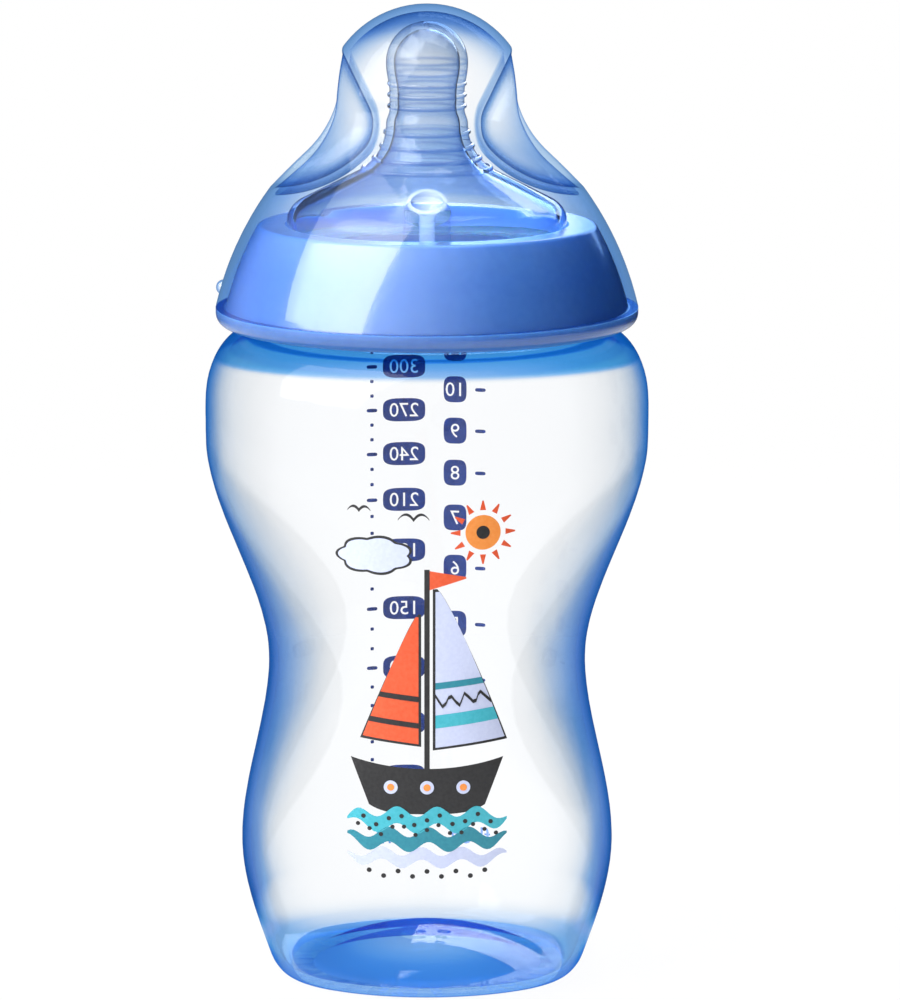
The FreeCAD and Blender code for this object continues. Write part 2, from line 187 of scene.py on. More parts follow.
def by_radius(tree, levels, along=0.0):
    """The same over the distance from an upright axis that stands at `along` on Y."""
    reach = tree.nodes.new("ShaderNodeVectorMath")
    reach.operation = "LENGTH"
    tree.links.new(from_axis(tree, along), reach.inputs[0])
    return by_measure(tree, reach.outputs["Value"], levels)


grain_detail = 3.0


def grain_bump(tree, grains, height):
    """Noise in object space, `grains` to the metre, and the normal of a bump that makes it `height` deep."""
    place = tree.nodes.new("ShaderNodeTexCoord")
    grain = tree.nodes.new("ShaderNodeTexNoise")
    grain.inputs["Scale"].default_value = grains
    grain.inputs["Detail"].default_value = grain_detail
    bump = tree.nodes.new("ShaderNodeBump")
    bump.inputs["Distance"].default_value = height
    tree.links.new(place.outputs["Object"], grain.inputs["Vector"])
    tree.links.new(grain.outputs["Fac"], bump.inputs["Height"])
    return grain.outputs["Fac"], bump.outputs["Normal"]


def edge_share(tree):
    """How far edge-on the skin is seen: 0 square on, 1 edge-on."""
    weight = tree.nodes.new("ShaderNodeLayerWeight")
    weight.inputs["Blend"].default_value = 0.5
    return weight.outputs["Facing"]


def outer_skin(tree, inner, outer):
    """1 on the outer skin of a hollow piece and 0 on its inner one, by how far the way out of the plastic
    points away from the upright axis: 0 where that share is down to `inner`, 1 from `outer` up."""
    place = tree.nodes.new("ShaderNodeTexCoord")
    side = tree.nodes.new("ShaderNodeNewGeometry")
    away = tree.nodes.new("ShaderNodeVectorMath")
    away.operation = "NORMALIZE"
    out = tree.nodes.new("ShaderNodeVectorMath")
    out.operation = "DOT_PRODUCT"
    tree.links.new(from_axis(tree), away.inputs[0])
    tree.links.new(away.outputs["Vector"], out.inputs[0])
    tree.links.new(place.outputs["Normal"], out.inputs[1])
    turned = ranged(tree, side.outputs["Backfacing"], 0.0, 1.0, 1.0, -1.0)
    return ranged(tree, reckoned(tree, "MULTIPLY", out.outputs["Value"], turned), inner, outer)


def new_finish(name):
    """A new material, its node tree and its shader."""
    material = bpy.data.materials.new(name)
    material.use_nodes = True
    tree = material.node_tree
    return material, tree, tree.nodes["Principled BSDF"]


clear_depth = 0.2
# Painted shade: a grey that darkens the colour of a clear wall as it turns edge-on.
edge_painted_greys = [
    (0.24, (1.0, 1.0, 1.0)),
    (0.40, (0.92, 0.92, 0.92)),
    (0.75, (0.84, 0.84, 0.84)),
    (1.00, (0.40, 0.40, 0.40)),
]


def wall_tint(tree, edge_on, gathered, tints):
    """Colour of a clear wall: the tint of how deep it is seen, which is how far edge-on it stands plus what
    it gathers, less a depth that stays clear; times a painted shade, a grey that grows as the wall turns
    away."""
    depth = reckoned(tree, "SUBTRACT", reckoned(tree, "ADD", edge_on, gathered), clear_depth)
    grey = ramped(tree, edge_on, edge_painted_greys, "B_SPLINE")
    return multiplied(tree, ramped(tree, depth, tints, "B_SPLINE"), grey)


gloss_fade = (0.50, 0.90)
faint_gloss = 0.02
mould_ripples = 60.0
ripple_depth = 0.03 * MM
plastic_colour = (0.30, 0.60, 0.93, 1.0)
plastic_density = 15.0


def clear_plastic(tree, skin, body, polish, coat_ior, coat_roughness):
    """Tinted clear plastic: light passes straight on through its body colour, under a gloss coat that has the
    faint ripple of the mould and fades as the wall turns edge-on."""
    skin.inputs["Transmission Weight"].default_value = 1.0
    skin.inputs["IOR"].default_value = 1.0
    skin.inputs["Roughness"].default_value = 0.0
    skin.inputs["Coat IOR"].default_value = coat_ior
    skin.inputs["Coat Roughness"].default_value = coat_roughness
    tree.links.new(body, skin.inputs["Base Color"])
    gloss = ranged(tree, edge_share(tree), *gloss_fade, 1.0, faint_gloss, "SMOOTHSTEP")
    tree.links.new(reckoned(tree, "MULTIPLY", gloss, polish), skin.inputs["Coat Weight"])
    ripple_normal = grain_bump(tree, mould_ripples, ripple_depth)[1]
    tree.links.new(ripple_normal, skin.inputs["Coat Normal"])
    inside = tree.nodes.new("ShaderNodeVolumeAbsorption")
    inside.inputs["Color"].default_value = plastic_colour
    inside.inputs["Density"].default_value = plastic_density
    tree.links.new(inside.outputs["Volume"], tree.nodes["Material Output"].inputs["Volume"])


def dress(node, material):
    """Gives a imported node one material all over."""
    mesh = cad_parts[node].data
    mesh.materials.clear()
    mesh.materials.append(material)


bottle_tints = [
    (0.25, (1.0, 1.0, 1.0)),
    (0.42, (0.93, 0.955, 0.975)),
    (0.56, (0.66, 0.765, 0.89)),
    (0.68, (0.15, 0.41, 0.86)),
    (0.80, (0.022, 0.24, 0.82)),
    (1.00, (0.003, 0.14, 0.62)),
]
bottle_gather = [
    (0.0, 0.74),
    (2.5, 0.71),
    (5.5, 0.42),
    (8.5, 0.29),
    (30.0, 0.17),
    (50.0, 0.25),
    (80.0, 0.11),
    (104.8, 0.12),
    (106.2, 0.80),
    (110.8, 0.80),
    (112.5, 0.32),
    (125.0, 0.32),
]
base_gather = [
    (0.0, 0.25),
    (19.5, 0.23),
    (23.0, 0.0),
    (40.0, 0.0),
]
bottle_edges = [
    (0.0, 0.40),
    (6.5, 0.45),
    (11.0, 1.0),
    (112.0, 1.0),
]
ridge_stops = 23
ridge_heights = np.linspace(grip_bottom, grip_top, ridge_stops)
ridge_places = crossing(side_reach(ridge_heights) + grip_axis_offset, barrel_reach(ridge_heights, 0.0))
ridge_width = 0.8 * MM
grip_painted_grey = 0.925


def grip_shade(tree):
    """1 on the barrel and a painted light grey shade inside the grips, which start at the ridges where they
    meet.
    """
    across = reckoned(tree, "ABSOLUTE", axis_of(tree, "X"), 0.0)
    ridge = by_height(tree, list(zip(ridge_heights / MM, ridge_places)))
    past = reckoned(tree, "SUBTRACT", across, ridge)
    return ranged(tree, past, -ridge_width / 2, ridge_width / 2, 1.0, grip_painted_grey, "SMOOTHSTEP")


bottle_skins = (-0.3, 0.1)
bottle_plastic, tree, skin = new_finish("bottle plastic")
outside = outer_skin(tree, *bottle_skins)
edges = multiplied(tree, outside, by_height(tree, bottle_edges))
edge_on = reckoned(tree, "MULTIPLY", edge_share(tree), edges)
gathered = reckoned(tree, "ADD", by_height(tree, bottle_gather), by_radius(tree, base_gather))
# The grips are darkened with a painted grey shade, whose edge draws each ridge as a line.
body = multiplied(tree, wall_tint(tree, edge_on, gathered, bottle_tints), grip_shade(tree))
clear_plastic(tree, skin, body, outside, coat_ior=1.3, coat_roughness=0.02)
dress("bottle_body", bottle_plastic)


# Measuring scale: navy ink printed on the back wall, read from behind, so it shows reversed from the front
# through the empty bottle. Millilitre pills stand on one side and fluid-ounce pills on the other, at levels
# worked out from the bottle's inside, and the units stand under them in pale blue.
ridge_round = 20.0 * MM


def wall_reach(across, height, inset):
    """How far the wall stands in front of the axis at a place across it: on the round barrel, on the
    ridge's arc, or on the grip's flatter arc, whichever the place falls on."""
    across = np.abs(across)
    barrel = barrel_reach(height, inset)
    grip = side_reach(height) - inset + grip_axis_offset
    ridge = ridge_round - inset
    ridge_out = barrel - ridge
    ridge_x = np.minimum(crossing(grip - ridge, ridge_out), ridge_out)
    ridge_y = np.sqrt(ridge_out ** 2 - ridge_x ** 2)
    barrel_end = ridge_x * barrel / ridge_out
    grip_end = grip * np.cos(np.arctan2(ridge_y, ridge_x + grip_axis_offset)) - grip_axis_offset
    on_barrel = np.sqrt(np.maximum(barrel ** 2 - across ** 2, 0))
    on_ridge = ridge_y + np.sqrt(np.maximum(ridge ** 2 - (across - ridge_x) ** 2, 0))
    on_grip = np.sqrt(np.maximum(grip ** 2 - (across + grip_axis_offset) ** 2, 0))
    return np.where(across <= barrel_end, on_barrel, np.where(across <= grip_end, on_ridge, on_grip))


front_wall = -1
back_wall = 1


def on_wall(flat, lift, face):
    """A flat print laid on the front or back wall: across and height become a point of the skin, pushed out
    along the skin's normal by `lift`."""
    across = flat[..., 0]
    height = flat[..., 1]
    step = 0.01 * MM
    out = wall_reach(across, height, 0.0)
    fall_across = wall_reach(across + step, height, 0.0) - wall_reach(across - step, height, 0.0)
    fall_up = wall_reach(across, height + step, 0.0) - wall_reach(across, height - step, 0.0)
    normal = np.stack([-fall_across, np.full_like(out, 2 * step), -fall_up], -1)
    normal = normal / np.linalg.norm(normal, axis=-1, keepdims=True)
    placed = np.stack([across, out, height], -1) + lift * normal
    return placed * np.array((-face, face, 1.0))


noise_middle = (0.3, 0.7)


def spread(tree, noise, low, high):
    """The middle of a noise drawn out to run from low to high."""
    return ranged(tree, noise, *noise_middle, low, high)


mesh_threads = 1800.0
mesh_tooth = 0.01 * MM
ink_roughness = (0.32, 0.48)


def ink(name, colour, thin_colour):
    """Screen-print ink: satin, a little uneven in depth, with the fine tooth of the mesh it came through."""
    material, tree, skin = new_finish(name)
    grain, tooth = grain_bump(tree, mesh_threads, mesh_tooth)
    tint = mixed(tree, spread(tree, grain, 0.0, 1.0), (*colour, 1.0), (*thin_colour, 1.0))
    tree.links.new(tint, skin.inputs["Base Color"])
    tree.links.new(spread(tree, grain, *ink_roughness), skin.inputs["Roughness"])
    tree.links.new(tooth, skin.inputs["Normal"])
    return material


ink_thickness = 0.03 * MM


def print_piece(name, mesh, material):
    """A print as a piece of the object: given its ink and the ink's thickness, riding on the bottle."""
    mesh.materials.append(material)
    piece = bpy.data.objects.new(name, mesh)
    scene.collection.objects.link(piece)
    layer = piece.modifiers.new("ink thickness", "SOLIDIFY")
    layer.thickness = ink_thickness
    layer.offset = 1.0
    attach(piece, "bottle")


scale_wall = 2.3 * MM
millilitre = 1e-6
fluid_ounce = 28.41 * millilitre
push_up_radius = 19.5 * MM
push_up_rise = 5.0 * MM
level_steps = 800
across_steps = 300


def fill_heights(volumes):
    """Levels of these volumes: the hollow's section, four times the area under one quarter of its outline,
    added up from the floor over its raised middle, inside a wall of the thickness the marks are set for."""
    levels = np.linspace(scale_wall, shoulder_height + shoulder_rise - 2 * scale_wall, level_steps)
    widths = np.minimum(side_reach(levels), barrel_reach(levels, 0.0)) - scale_wall
    across = np.linspace(0, 1, across_steps)[:, None] * widths
    reach = wall_reach(across, levels, scale_wall)
    sections = 4 * np.sum((reach[1:] + reach[:-1]) / 2 * np.diff(across, axis=0), axis=0)
    dome = (push_up_radius ** 2 + push_up_rise ** 2) / (2 * push_up_rise) + scale_wall
    dome_height = levels - push_up_rise - scale_wall + dome
    sections = sections - np.pi * np.maximum(dome ** 2 - dome_height ** 2, 0)
    held = np.concatenate([[0], np.cumsum((sections[1:] + sections[:-1]) / 2 * np.diff(levels))])
    return np.interp(volumes, held, levels)


pill_blunting = 0.55


def pill_outline(width, depth, steps):
    """A rounded pill: half its size times cosine and sine of the turn, each raised to a blunting power."""
    turn = np.linspace(0, 2 * np.pi, steps, endpoint=False)
    reach = np.stack([np.cos(turn), np.sin(turn)], 1)
    return np.sign(reach) * np.abs(reach) ** pill_blunting * (width / 2, depth / 2)


def words_outline(words, size):
    """Outlines of a line of words or figures, flat and centred, as points and edges."""
    curve = bpy.data.curves.new("words", "FONT")
    curve.body = words
    curve.size = size
    curve.align_x = "CENTER"
    curve.fill_mode = "NONE"
    curve.resolution_u = 3
    holder = bpy.data.objects.new("words", curve)
    mesh = bpy.data.meshes.new_from_object(holder)
    points = np.empty(len(mesh.vertices) * 3)
    edges = np.empty(len(mesh.edges) * 2, dtype=np.int32)
    mesh.vertices.foreach_get("co", points)
    mesh.edges.foreach_get("vertices", edges)
    bpy.data.objects.remove(holder)
    bpy.data.curves.remove(curve)
    bpy.data.meshes.remove(mesh)
    points = points.reshape(-1, 3)[:, :2]
    points = points - (0, (points[:, 1].min() + points[:, 1].max()) / 2)
    return points, edges.reshape(-1, 2)


def closed_edges(count):
    """Edges round a closed outline of that many points."""
    first = np.arange(count)
    return np.stack([first, (first + 1) % count], 1)


def joined(outlines):
    """Several outlines as one: their points in a row, and their edges counted on."""
    starts = np.cumsum([0] + [len(points) for points, edges in outlines])
    points = np.concatenate([points for points, edges in outlines])
    edges = np.concatenate([edges + start for (points, edges), start in zip(outlines, starts)])
    return points, edges


def lay_print(name, signs, cut, lift, face):
    """A print on the wall: each sign's outline is filled by itself, so that figures inside a pill are left
    bare, then cut into strips narrow enough to follow the wall and laid on it."""
    points, edges = joined(signs)
    mesh = bpy.data.meshes.new(name)
    mesh.from_pydata(np.pad(points, ((0, 0), (0, 1))).tolist(), edges.tolist(), [])
    flat = bmesh.new()
    flat.from_mesh(mesh)
    flat.edges.ensure_lookup_table()
    ends = np.cumsum([len(pairs) for corners, pairs in signs])
    rims = [flat.edges[end - len(pairs):end] for (corners, pairs), end in zip(signs, ends)]
    for rim in rims:
        bmesh.ops.triangle_fill(flat, use_beauty=True, edges=rim, normal=(0, 0, 1))
    for axis, way in enumerate(((1, 0, 0), (0, 1, 0))):
        for place in np.arange(points[:, axis].min(), points[:, axis].max(), cut):
            whole = flat.verts[:] + flat.edges[:] + flat.faces[:]
            bmesh.ops.bisect_plane(flat, geom=whole, dist=1e-8, plane_co=place * np.array(way), plane_no=way)
    bmesh.ops.recalc_face_normals(flat, faces=flat.faces[:])
    flat.faces.ensure_lookup_table()
    if flat.faces[0].normal.z < 0:
        bmesh.ops.reverse_faces(flat, faces=flat.faces[:])
    flat.to_mesh(mesh)
    flat.free()
    points = np.empty(len(mesh.vertices) * 3)
    mesh.vertices.foreach_get("co", points)
    placed = on_wall(points.reshape(-1, 3)[:, :2], lift, face)
    mesh.vertices.foreach_set("co", placed.ravel())
    mesh.update()
    return mesh


figure_size = 3.5 * MM
ml_across = 4.0 * MM
ml_tick_across = 9.6 * MM
ounce_across = -4.9 * MM
ounce_tick_across = -9.3 * MM
ml_pill = (7.4 * MM, 4.1 * MM)
ounce_pill = (4.0 * MM, 4.6 * MM)
tick = (1.85 * MM, 0.65 * MM)
dot = (0.6 * MM, 0.6 * MM)
pill_steps = 36
tick_steps = 12
ml_marks = np.arange(60, 331, 30)
ml_dots = np.setdiff1d(np.arange(50, 331, 10), ml_marks)
ounce_marks = np.arange(2, 12)
ml_heights = fill_heights(ml_marks * millilitre)
dot_heights = fill_heights(ml_dots * millilitre)
ounce_heights = fill_heights(ounce_marks * fluid_ounce)

labels = [(str(mark), ml_pill, ml_across, height) for mark, height in zip(ml_marks, ml_heights)]
labels += [(str(mark), ounce_pill, ounce_across, height) for mark, height in zip(ounce_marks, ounce_heights)]
plain = [(tick, ml_tick_across, height) for height in ml_heights]
plain += [(tick, ounce_tick_across, height) for height in ounce_heights]
plain += [(dot, ml_tick_across, height) for height in dot_heights]

signs = []
for figures, pill, across, height in labels:
    shape = pill_outline(*pill, pill_steps)
    points, pairs = joined([(shape, closed_edges(len(shape))), words_outline(figures, figure_size)])
    signs.append((points + (across, height), pairs))
for size, across, height in plain:
    shape = pill_outline(*size, tick_steps)
    signs.append((shape + (across, height), closed_edges(len(shape))))

print_lift = 0.04 * MM
strip = 0.9 * MM
navy_ink = ink("navy ink", (0.003, 0.030, 0.20), (0.005, 0.045, 0.26))
print_piece("scale_marks", lay_print("scale marks", signs, strip, print_lift, back_wall), navy_ink)

words_size = 4.2 * MM
words_height = 15.0 * MM
ml_words_across = 7.0 * MM
ounce_words_across = -7.5 * MM
words = []
for unit, across in (("ml", ml_words_across), ("fl oz", ounce_words_across)):
    points, pairs = words_outline(unit, words_size)
    words.append((points + (across, words_height), pairs))
pale_ink = ink("pale blue ink", (0.22, 0.40, 0.80), (0.30, 0.48, 0.85))
print_piece("scale_units", lay_print("scale units", words, strip, print_lift, back_wall), pale_ink)


# Front picture: a sailing boat under a sun and a cloud, screen-printed on the front wall in flat inks, black
# first as the border of each shape, then the colours and black details, one thin layer upon another. It is
# drawn in millimetres, across from the middle and up from the base.
def ruled(near, far, rows):
    """A flat patch between two lines: near + v (far - near), v from 0 to 1 over the rows."""
    share = np.linspace(0, 1, rows)[:, None, None]
    return np.asarray(near) + share * (np.asarray(far) - np.asarray(near))


def disc(middle, radius, rows):
    """A square grid drawn round: x = u sqrt(1 - v v / 2) and z = v sqrt(1 - u u / 2), times the radius."""
    side = np.linspace(-1, 1, rows)
    u, v = np.meshgrid(side, side, indexing="ij")
    round_grid = np.stack([u * np.sqrt(1 - v * v / 2), v * np.sqrt(1 - u * u / 2)], -1)
    return np.asarray(middle) + round_grid * radius


def ribbon(path, half_width):
    """A strip along a path, half_width above and below it."""
    rise = np.stack([np.zeros(len(path)), np.broadcast_to(half_width, len(path))], 1)
    return ruled(path - rise, path + rise, rows=3)


def grown(grid, margin):
    """The same patch, larger by a margin on every side."""
    low = grid.min((0, 1))
    high = grid.max((0, 1))
    return (low + high) / 2 + (grid - (low + high) / 2) * (1 + 2 * margin / (high - low))


def bordered(grid, margin):
    """A closed band along a patch's edge, from a margin outside it to half of that inside."""
    outer = grown(grid, margin)
    inner = grown(grid, -margin / 2)
    rims = [np.concatenate([g[0, :-1], g[:-1, -1], g[-1, :0:-1], g[::-1, 0]]) for g in (outer, inner)]
    return ruled(*rims, rows=3)


layer_gap = 0.01 * MM


def picture_layer(name, patches, layer, material):
    """Patches given in millimetres, laid on the front wall as one mesh of quads, over `layer` inks below."""
    points = []
    faces = []
    start = 0
    for patch in patches:
        rows, columns = patch.shape[:2]
        index = start + np.arange(rows * columns).reshape(rows, columns)
        quads = np.stack([index[:-1, :-1], index[:-1, 1:], index[1:, 1:], index[1:, :-1]], -1)
        along = patch[0, 1] - patch[0, 0]
        over = patch[1, 0] - patch[0, 0]
        if along[0] * over[1] - along[1] * over[0] < 0:
            quads = quads[..., ::-1]
        points.append(patch.reshape(-1, 2) * MM)
        faces.append(quads.reshape(-1, 4))
        start += rows * columns
    mesh = bpy.data.meshes.new(name)
    lift = print_lift + layer * (ink_thickness + layer_gap)
    placed = on_wall(np.concatenate(points), lift, front_wall)
    mesh.from_pydata(placed.tolist(), [], np.concatenate(faces).tolist())
    mesh.update()
    print_piece(name, mesh, material)


sail_gap = 1.4
boat_up = np.linspace(0, 0.97, 25)
boat_across = np.linspace(-1, 1, 49)


def sail(side, foot, rise, width, lift, fullness, rows):
    """A sail with its straight edge beside the mast. At the share u of the way up, its free edge stands
    width (1 - u) ** fullness out, from a corner raised by `lift` to the head."""
    straight = np.stack([np.full_like(boat_up, sail_gap), foot + rise * boat_up], 1)
    free = sail_gap + width * (1 - boat_up) ** fullness
    free = np.stack([free, foot + lift + (rise - lift) * boat_up], 1)
    return ruled(straight, free, rows) * (side, 1.0)


main_sail = sail(1, foot=45.0, rise=27.0, width=11.4, lift=1.4, fullness=0.80, rows=17)
jib = sail(-1, foot=45.6, rise=22.0, width=9.2, lift=1.2, fullness=0.85, rows=15)

keel_height = 33.6
keel_half = 9.6
keel_curl = 1.5
deck_height = 41.4
deck_half = 12.6
deck_sheer = 1.7
keel = np.stack([keel_half * boat_across, keel_height + keel_curl * boat_across ** 4], 1)
deck = np.stack([deck_half * boat_across, deck_height + deck_sheer * boat_across ** 2], 1)
hull = ruled(keel, deck, rows=9)

mast_half = 0.45
mast_foot = 40.0
mast_rise = 36.0
mast_side = np.stack([np.full_like(boat_up, mast_half), mast_foot + mast_rise * boat_up], 1)
mast = ruled(mast_side * (-1.0, 1.0), mast_side, rows=3)

pennant_length = 6.2
pennant_top = 74.7
pennant_bottom = 71.5
pennant_fall = 1.1
pennant_lift = 1.9
pennant_out = mast_half + pennant_length * boat_up
pennant_upper = np.stack([pennant_out, pennant_top - pennant_fall * boat_up], 1)
pennant_lower = np.stack([pennant_out, pennant_bottom + pennant_lift * boat_up], 1)
pennant = ruled(pennant_upper, pennant_lower, rows=5)

sun_middle = np.array((9.2, 81.0))
sun_radius = 2.9
sun_eye_radius = 1.1
ray_count = 12
ray_start = 3.7
ray_end = 5.3
ray_foot_half = 0.5
ray_tip_half = 0.12
sun = disc(sun_middle, sun_radius, rows=13)
ray_turns = np.arange(ray_count) * 2 * np.pi / ray_count
ray_ways = np.stack([np.cos(ray_turns), np.sin(ray_turns)], 1)
ray_sides = np.stack([-ray_ways[:, 1], ray_ways[:, 0]], 1)
ray_columns = 4
ray_out = np.linspace(ray_start, ray_end, ray_columns)[:, None]
ray_half = np.linspace(ray_foot_half, ray_tip_half, ray_columns)[:, None]
rays = []
for way, side in zip(ray_ways, ray_sides):
    ray_line = sun_middle + ray_out * way
    rays.append(ruled(ray_line - ray_half * side, ray_line + ray_half * side, rows=3))

cloud_middle = np.array((-8.6, 77.2))
cloud_half = (5.2, 2.5)
cloud_puffs = 7
cloud_swell = 0.16
puffs = disc((0, 0), 1.0, rows=25)
puff_turn = np.arctan2(puffs[..., 1], puffs[..., 0])
puff_swell = 1 + cloud_swell * np.abs(np.sin(cloud_puffs / 2 * puff_turn))[..., None]
cloud = cloud_middle + puffs * puff_swell * cloud_half

wave_half = 13.2
wave_taper = 0.85


def swell(across):
    """Turn of the waves' sine at a place across, for four crests from end to end."""
    return 4 * np.pi * across / wave_half


def wave(height, swing, half_width, phase):
    """A wave band: a sine line with four crests, its half width tapering to the ends."""
    line = wave_half * boat_across
    line = np.stack([line, height + swing * np.sin(swell(line) + phase)], 1)
    return ribbon(line, half_width * (1 - wave_taper * boat_across ** 6))


gull_arch = 0.35
gull_half_width = 0.32
gull_taper = 0.7


def gull(middle, span):
    """Two arched wings: a pair of humps side by side, thin at the tips."""
    wings = np.linspace(-1, 1, 25)
    arch = gull_arch * span * (1 - (2 * np.abs(wings) - 1) ** 2)
    line = np.asarray(middle) + np.stack([span * wings, arch], 1)
    return ribbon(line, gull_half_width * (1 - gull_taper * np.abs(wings)))


zigzag_half_width = 0.3


def zigzag(low, high, teeth):
    """A zigzag between two lines, from one end of them to the other."""
    swing = np.abs((np.linspace(0, teeth, len(low)) % 2) - 1)[:, None]
    return ribbon(low + swing * (high - low), zigzag_half_width)


def dots(places, heights, radius, rows):
    """A row of round dots."""
    return [disc(middle, radius, rows) for middle in np.broadcast(places, heights)]


crest_height = 32.6
crest_swing = 0.9
turquoise_wave = wave(height=crest_height, swing=crest_swing, half_width=1.45, phase=0.0)
teal_wave = wave(height=29.2, swing=crest_swing, half_width=1.3, phase=1.3)
low_wave = wave(height=26.0, swing=0.8, half_width=1.1, phase=2.4)
foam_height = 30.9
foam_across = np.arange(-11.4, 12, 1.9)
foam = dots(foam_across, foam_height + crest_swing * np.sin(foam_across), radius=0.36, rows=5)
crest_across = np.arange(-10.5, 11, 2.1)
crest_heights = crest_height + crest_swing * np.sin(swell(crest_across))
wave_dots = dots(crest_across, crest_heights, radius=0.38, rows=5)
spray_height = 23.6
spray_across = np.arange(-9.6, 10, 2.4)
spray_drop = 0.9
spray_heights = spray_height - spray_drop * (np.arange(len(spray_across)) % 2)
spray = dots(spray_across, spray_heights, radius=0.42, rows=5)
port_height = 38.2
port_across = (-6.0, 0.0, 6.0)
portholes = dots(port_across, port_height, radius=1.15, rows=9)
port_panes = dots(port_across, port_height, radius=0.6, rows=7)

outline = 0.45
black = (0.010, 0.010, 0.012)
thin_black = (0.020, 0.020, 0.022)
borders = [bordered(shape, outline) for shape in (main_sail, jib, cloud)]
gulls = [gull(middle=(-2.2, 83.2), span=2.6), gull(middle=(-11.2, 84.6), span=1.9)]
picture_layer("picture_outlines", borders + [mast, hull] + gulls + spray,
              layer=0, material=ink("black ink", black, thin_black))
picture_layer("picture_lavender", [main_sail, cloud, low_wave] + portholes,
              layer=1, material=ink("lavender ink", (0.50, 0.55, 0.76), (0.55, 0.60, 0.80)))
picture_layer("picture_red", [jib, pennant] + rays,
              layer=1, material=ink("orange red ink", (0.68, 0.072, 0.015), (0.72, 0.10, 0.03)))
picture_layer("picture_orange", [sun] + port_panes,
              layer=2, material=ink("orange ink", (0.80, 0.24, 0.035), (0.83, 0.29, 0.06)))
main_low_band = main_sail[:, 3:6]
picture_layer("picture_turquoise", [turquoise_wave, main_low_band],
              layer=2, material=ink("turquoise ink", (0.035, 0.39, 0.48), (0.055, 0.44, 0.54)))
main_high_band = main_sail[:, 9:11]
picture_layer("picture_teal", [teal_wave, main_high_band],
              layer=2, material=ink("teal ink", (0.012, 0.20, 0.28), (0.020, 0.245, 0.32)))
jib_bands = [jib[:, 3:5], jib[:, 8:10]]
main_zigzag = zigzag(main_sail[:, 6], main_sail[:, 8], teeth=7)
sun_eye = disc(sun_middle, sun_eye_radius, rows=7)
picture_layer("picture_details", jib_bands + [main_zigzag] + foam + wave_dots + [sun_eye],
              layer=3, material=ink("black detail ink", black, thin_black))


# Teat: one moulding of clear silicone, its flange clamped on the bottle's rim by the collar. The dome is
# clear and wet-looking, a frosting of the mould makes the nipple hazy, and the vent pocket is hazier still.
# Tint by height. The light blue low on the dome is painted light, the collar's blue as it shows through the
# clear silicone; higher up the silicone is blue-grey, and greyer towards the tip.
silicone_tint_and_painted_blue = [
    (124.0, (0.93, 0.965, 1.0)),
    (127.5, (0.93, 0.965, 1.0)),
    (130.5, (0.87, 0.935, 0.995)),
    (133.0, (0.97, 0.97, 0.97)),
    (136.2, (0.97, 0.97, 0.97)),
    (138.5, (0.74, 0.82, 0.905)),
    (147.0, (0.81, 0.83, 0.885)),
    (153.0, (0.88, 0.86, 0.865)),
    (156.0, (0.75, 0.755, 0.77)),
    (162.0, (0.75, 0.755, 0.77)),
]
silicone_clearness = [
    (124.0, 1.00),
    (148.0, 0.98),
    (154.0, 0.96),
    (162.0, 0.95),
]
silicone_haze = [
    (124.0, 0.00),
    (148.0, 0.02),
    (154.0, 0.12),
    (162.0, 0.20),
]
# Painted shade: as the clear silicone turns edge-on its colour is darkened to blue-grey, faintly on the
# flange, in full from the dome up and all round the vent pocket, which shows by it.
silicone_edge_painted_shade = [
    (0.00, (1.0, 1.0, 1.0)),
    (0.25, (0.97, 0.98, 0.995)),
    (0.60, (0.66, 0.78, 0.93)),
    (0.85, (0.34, 0.52, 0.82)),
    (1.00, (0.12, 0.26, 0.56)),
]
silicone_painted_shade_shares = [
    (120.0, 0.15),
    (126.2, 0.15),
    (129.0, 1.0),
    (162.0, 1.0),
]
# Painted light and shade: faces that lean up are whiter, and faces that lean down darker and bluer, as if lit
# from above.
painted_lean_shades = [
    (0.15, (0.52, 0.70, 0.95)),
    (0.40, (0.70, 0.82, 0.95)),
    (0.52, (0.87, 0.91, 0.95)),
    (0.66, (1.0, 1.0, 1.0)),
]
vent_along = -17.5 * MM
vent_painted_shade_shares = [
    (0.0, 1.0),
    (4.2, 1.0),
    (4.8, 0.0),
    (10.0, 0.0),
]
vent_clearness = [
    (0.0, 0.77),
    (3.1, 0.77),
    (3.6, 1.0),
    (10.0, 1.0),
]

# The ribs are forms of the imported mesh; a thin line of painted shade under the crest of each and a painted
# highlight on the crest make it readable.
neck_height = 144.35
neck_round = 9.0
neck_turn = math.radians(63.0)
neck_ribs = 4
first_nipple_rib = 147.5
nipple_rib_pitch = 1.9
nipple_ribs = 5
rib_turns = neck_turn * (np.arange(neck_ribs, 0, -1) - 0.5) / neck_ribs
rib_heights = [
    *(neck_height - neck_round * np.sin(rib_turns)),
    *(first_nipple_rib + nipple_rib_pitch * np.arange(nipple_ribs)),
]
ribs_start = 136.2
ribs_end = 156.0
crest_highlight_white = (1.0, 1.0, 1.0)
rib_shade_and_highlight = [
    (-0.50, (0.84, 0.90, 0.95)),
    (-0.22, (0.36, 0.54, 0.84)),
    (0.22, crest_highlight_white),
]
painted_rib_lines = [(ribs_start, crest_highlight_white)]
painted_rib_lines += [(height + step, tint) for height in rib_heights for step, tint in rib_shade_and_highlight]
painted_rib_lines += [(ribs_end, crest_highlight_white)]

